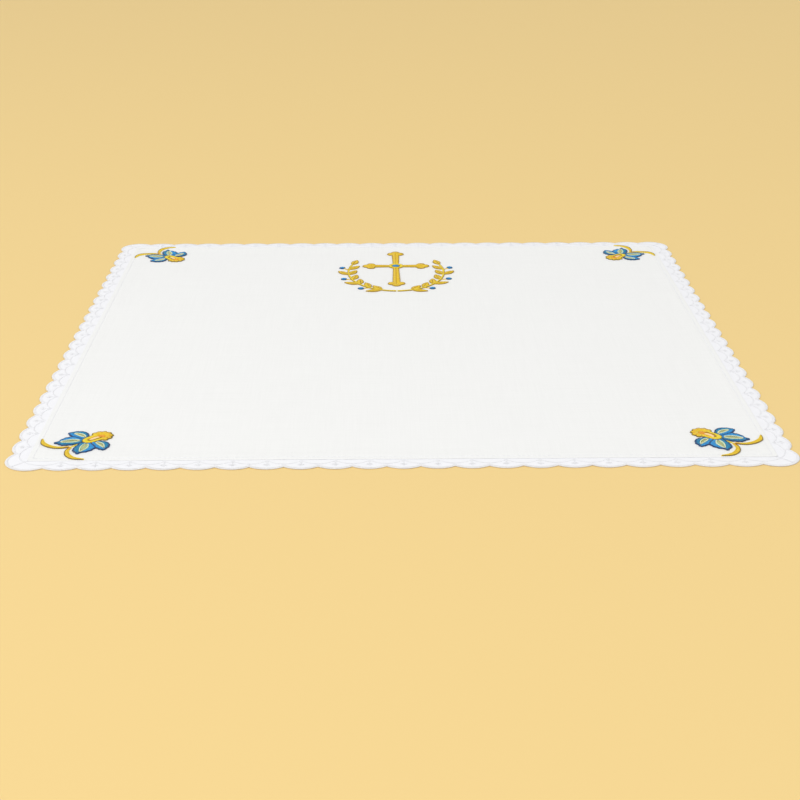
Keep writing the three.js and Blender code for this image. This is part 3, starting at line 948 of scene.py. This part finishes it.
for i in range(frill_lobes):
    middle = lobe_steps * i + lobe_steps // 2
    dot = frill_throat[middle] * 0.45 + frill_edge[middle] * 0.55
    bell_sets.append(disc(dot, 0.6, "blush" if i % 2 == 1 else "bronze", 0, 1.15))
    if i > 0:
        notch = lobe_steps * i
        crease = np.vstack([frill_throat[notch] * 0.6 + frill_edge[notch] * 0.4, frill_edge[notch]])
        bell_sets.append(stem_stitch(crease, "amber", stitch=1.6, lift=0.8, width=0.4))
print_stitches("Bell stitches in one flower:", bell_sets)

# %% [markdown]
# ## Corner flower: stem and tendrils
# From behind the petals a short stem runs towards the corner, and two tendrils curve from it to the two
# seams. A tendril is a ribbon of slanting satin stitch. Its width is given at five points of its middle
# line, and the smooth line carries it along.

# %% Lines and stitches of the tendrils
tendril = smooth([(8.3, 0.55, 1.1), (12.2, 2.9, 1.8), (15.2, 8, 2.5), (15.4, 13.4, 2.2), (12.5, 18.2, 0.5)])
tendril_left, tendril_right = both_sides(tendril[:, :2], tendril[:, 2:] / 2)
near_stem = 5           # how many points of the line are sewn in amber
tendril_sets = with_mirror_image([
    fill(tendril_left[:near_stem + 1], tendril_right[:near_stem + 1], "amber", crown=0.6),
    fill(tendril_left[near_stem:], tendril_right[near_stem:], "gold", crown=0.6),
    stem_stitch(tendril_right, "olive", lift=0.36, width=0.36),
    stem_stitch(tendril_left, "yellow", lift=0.36, width=0.36),
])
stem_line = np.array([(1.6, 0.0), (9.0, 0.0)])
tendril_sets.append(fill(*both_sides(stem_line, 0.5), "yellow", crown=0.6))
print_stitches("Tendril stitches in one flower:", tendril_sets)

# %% Four corner flowers
flower_place = (164.5, 166.6)
flower_corners = {"front_right": (1, -1), "back_right": (1, 1),
                  "back_left": (-1, 1), "front_left": (-1, -1)}


def embroidery(node, sets):
    piece = thread_piece(f"{node}_stitches", sets)
    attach(piece, "root")
    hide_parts(node)
    return piece


for corner_name, (right, back) in flower_corners.items():
    degrees = math.degrees(math.atan2(back, right))
    heart = (right * flower_place[0], back * flower_place[1])
    node = f"flower_{corner_name}"
    embroidery(f"{node}_petals", lay(petal_sets, degrees, heart))
    embroidery(f"{node}_trumpet", lay(bell_sets, degrees, heart))
    embroidery(f"{node}_tendrils", lay(tendril_sets, degrees, heart))
print("Flowers:", len(flower_corners))

# %% [markdown]
# ## The emblem: a cross
# Near the back edge a plain cross stands between two leafy sprays. Its arms are split satin: threads
# slant from a ridge in the middle to both edges, which catches the light on two sides. Each arm ends in
# three round lobes, and a blue boss sits in a yellow ring at the heart.

# %% Stitches of the cross and its boss
emblem_middle = (0.0, 127.0)
cross_heart = np.array([0.0, 13.0])
arm_lengths = {0: 17.5, 90: 29.0, 180: 17.5, 270: 40.0}     # degrees from +X, and length to the lobes
trefoil_radius, boss_radius, ring_radius = 2.9, 2.6, 5.2
cross_sets = []
for degrees, length in arm_lengths.items():
    ridge = np.array([(4.6, 0.0), (length + 0.4, 0.0)])
    parts = []
    for side in (1, -1):
        edge = np.array([(5.4, side * 1.95), (length + 1.2, side * 2.65)])
        parts.append(fill(ridge, edge, "gold", crown=0.72))
        # The outline stops short of the lobes.
        outline = edge[:1] * 0.96 + (edge[1:] - edge[:1]) * np.array([[0.0], [0.93]])
        parts.append(stem_stitch(outline, "bronze", lift=0.42))
    lobes = [(length, -trefoil_radius), (length, trefoil_radius), (length + trefoil_radius, 0)]
    parts += [disc(lobe, trefoil_radius, "gold", way, 0.8) for lobe, way in zip(lobes, (-60, 60, 0))]
    for lobe, (first, last) in zip(lobes, [(185, 360), (0, 175), (-90, 90)]):
        lobe_edge = arc(lobe, trefoil_radius, first, last, 21)
        parts.append(stem_stitch(lobe_edge, "bronze", 1.6, 0.8, lift=0.42))
    for plan, *rest in parts:
        plan = turned(plan.reshape(-1, 2), degrees).reshape(plan.shape) + cross_heart
        cross_sets.append((plan, *rest))
ring_inner, ring_outer, boss_edge = [
    arc(cross_heart, radius, 0, 360, 97) for radius in (boss_radius + 0.35, ring_radius, boss_radius)]
cross_sets.append(fill(ring_inner, ring_outer, "yellow", crown=0.95))
cross_sets.append(stem_stitch(ring_outer, "bronze", 1.6, 0.8, lift=0.5))
boss_rim = stem_stitch(boss_edge, "navy", 1.4, 0.7, lift=0.45)
boss_sets = [disc(cross_heart, boss_radius, "azure", 45, 1.0), boss_rim]
print_stitches("Cross stitches:", cross_sets)

# %% [markdown]
# ## The emblem: leafy sprays
# A spray follows a quarter of an ellipse and a little more. Leaves grow on its inner side at each node,
# and leaves and berries take turns on its outer side. A leaf is two halves of slanted satin with a dark
# vein. The right spray is drawn, and the left one is its mirror image.

# %% Lines and stitches of the right spray
wreath = (33.0, 43.0)                   # half width and half height of the ellipse
spray_from, spray_to, spray_nodes = -89.0, 22.0, 7
leaf_length, leaf_turn = 11.5, 34.0
bow_spread, bow_reach = 42.0, 7.0
berry_radius, berry_reach, berry_turn = 1.9, 6.4, 52.0
stalk_half = 0.42


def spray_node(number):
    turn = math.radians(spray_from + (spray_to - spray_from) * number / spray_nodes)
    place = np.array([wreath[0] * math.cos(turn), wreath[1] * math.sin(turn)])
    heading = math.degrees(math.atan2(wreath[1] * math.cos(turn), -wreath[0] * math.sin(turn)))
    return place, heading


def seen_from(node, side, degrees, distance):
    place, heading = node
    way = math.radians(heading - side * degrees)
    return place + distance * np.array([math.cos(way), math.sin(way)])


def leaf_stitches(node, side, lean):
    """side is 1 for the outer side of the wreath and -1 for the inner one."""
    tip = seen_from(node, side, lean, leaf_length)
    foot = seen_from(node, side, lean, 0.8)
    bows = [seen_from(node, side, lean + sign * bow_spread, bow_reach) for sign in (1, -1)]
    edges = [bowed(foot, bow, tip) for bow in bows]
    vein = bowed(foot, seen_from(node, side, lean + 6, leaf_length / 2), tip)
    sets = [fill(vein[:-3], edge[2:], "gold", crown=0.72) for edge in edges]
    sets += [stem_stitch(edge, "bronze", 1.8, lift=0.42) for edge in edges]
    sets.append(stem_stitch(vein[:-4], "bronze", 1.8, lift=0.5, width=0.34))
    return sets


stem_steps = 85
stem_middle = np.array([spray_node(n)[0] for n in np.linspace(0, spray_nodes, stem_steps)])
stem_left, stem_right = both_sides(stem_middle, np.linspace(0.95, 0.5, stem_steps)[:, None])
spray_sets = [fill(stem_left, stem_right, "yellow", crown=0.8), stem_stitch(stem_right, "bronze", lift=0.4)]
berry_sets = {}
for n in range(1, spray_nodes):
    node = spray_node(n)
    spray_sets += leaf_stitches(node, -1, leaf_turn)
    if n % 2 == 1:
        spray_sets += leaf_stitches(node, 1, leaf_turn)
        continue
    berry = seen_from(node, 1, berry_turn, berry_reach)
    stalk = np.array([seen_from(node, 1, berry_turn, d) for d in (0.6, berry_reach - berry_radius)])
    spray_sets.append(fill(*both_sides(stalk, stalk_half), "gold", crown=0.6))
    rim = arc(berry, berry_radius, 0, 360, 33)
    berry_rim = stem_stitch(rim, "navy", 1.3, 0.65, lift=0.42)
    berry_sets[n // 2] = [disc(berry, berry_radius, "azure", 30 * n, 0.95), berry_rim]
spray_sets += leaf_stitches(spray_node(spray_nodes), 1, 0)
print_stitches("Stitches in one spray:", spray_sets)

# %% The emblem's pieces
embroidery("emblem_cross", lay(cross_sets, 0, emblem_middle))
embroidery("emblem_boss", lay(boss_sets, 0, emblem_middle))
for side, mirror in (("right", False), ("left", True)):
    embroidery(f"emblem_spray_{side}", lay(spray_sets, 0, emblem_middle, mirror))
    for number, sets in berry_sets.items():
        embroidery(f"emblem_berry_{side}_{number}", lay(sets, 0, emblem_middle, mirror))

# %% [markdown]
# ## Last measures
# The last cell counts roughly how many triangles the dressed model has.

# %% Triangles of the dressed model
triangles = sum(len(o.data.polygons) * 2 for o in scene.objects if o.type == "MESH" and not o.hide_render)
print("Triangles, roughly:", triangles)
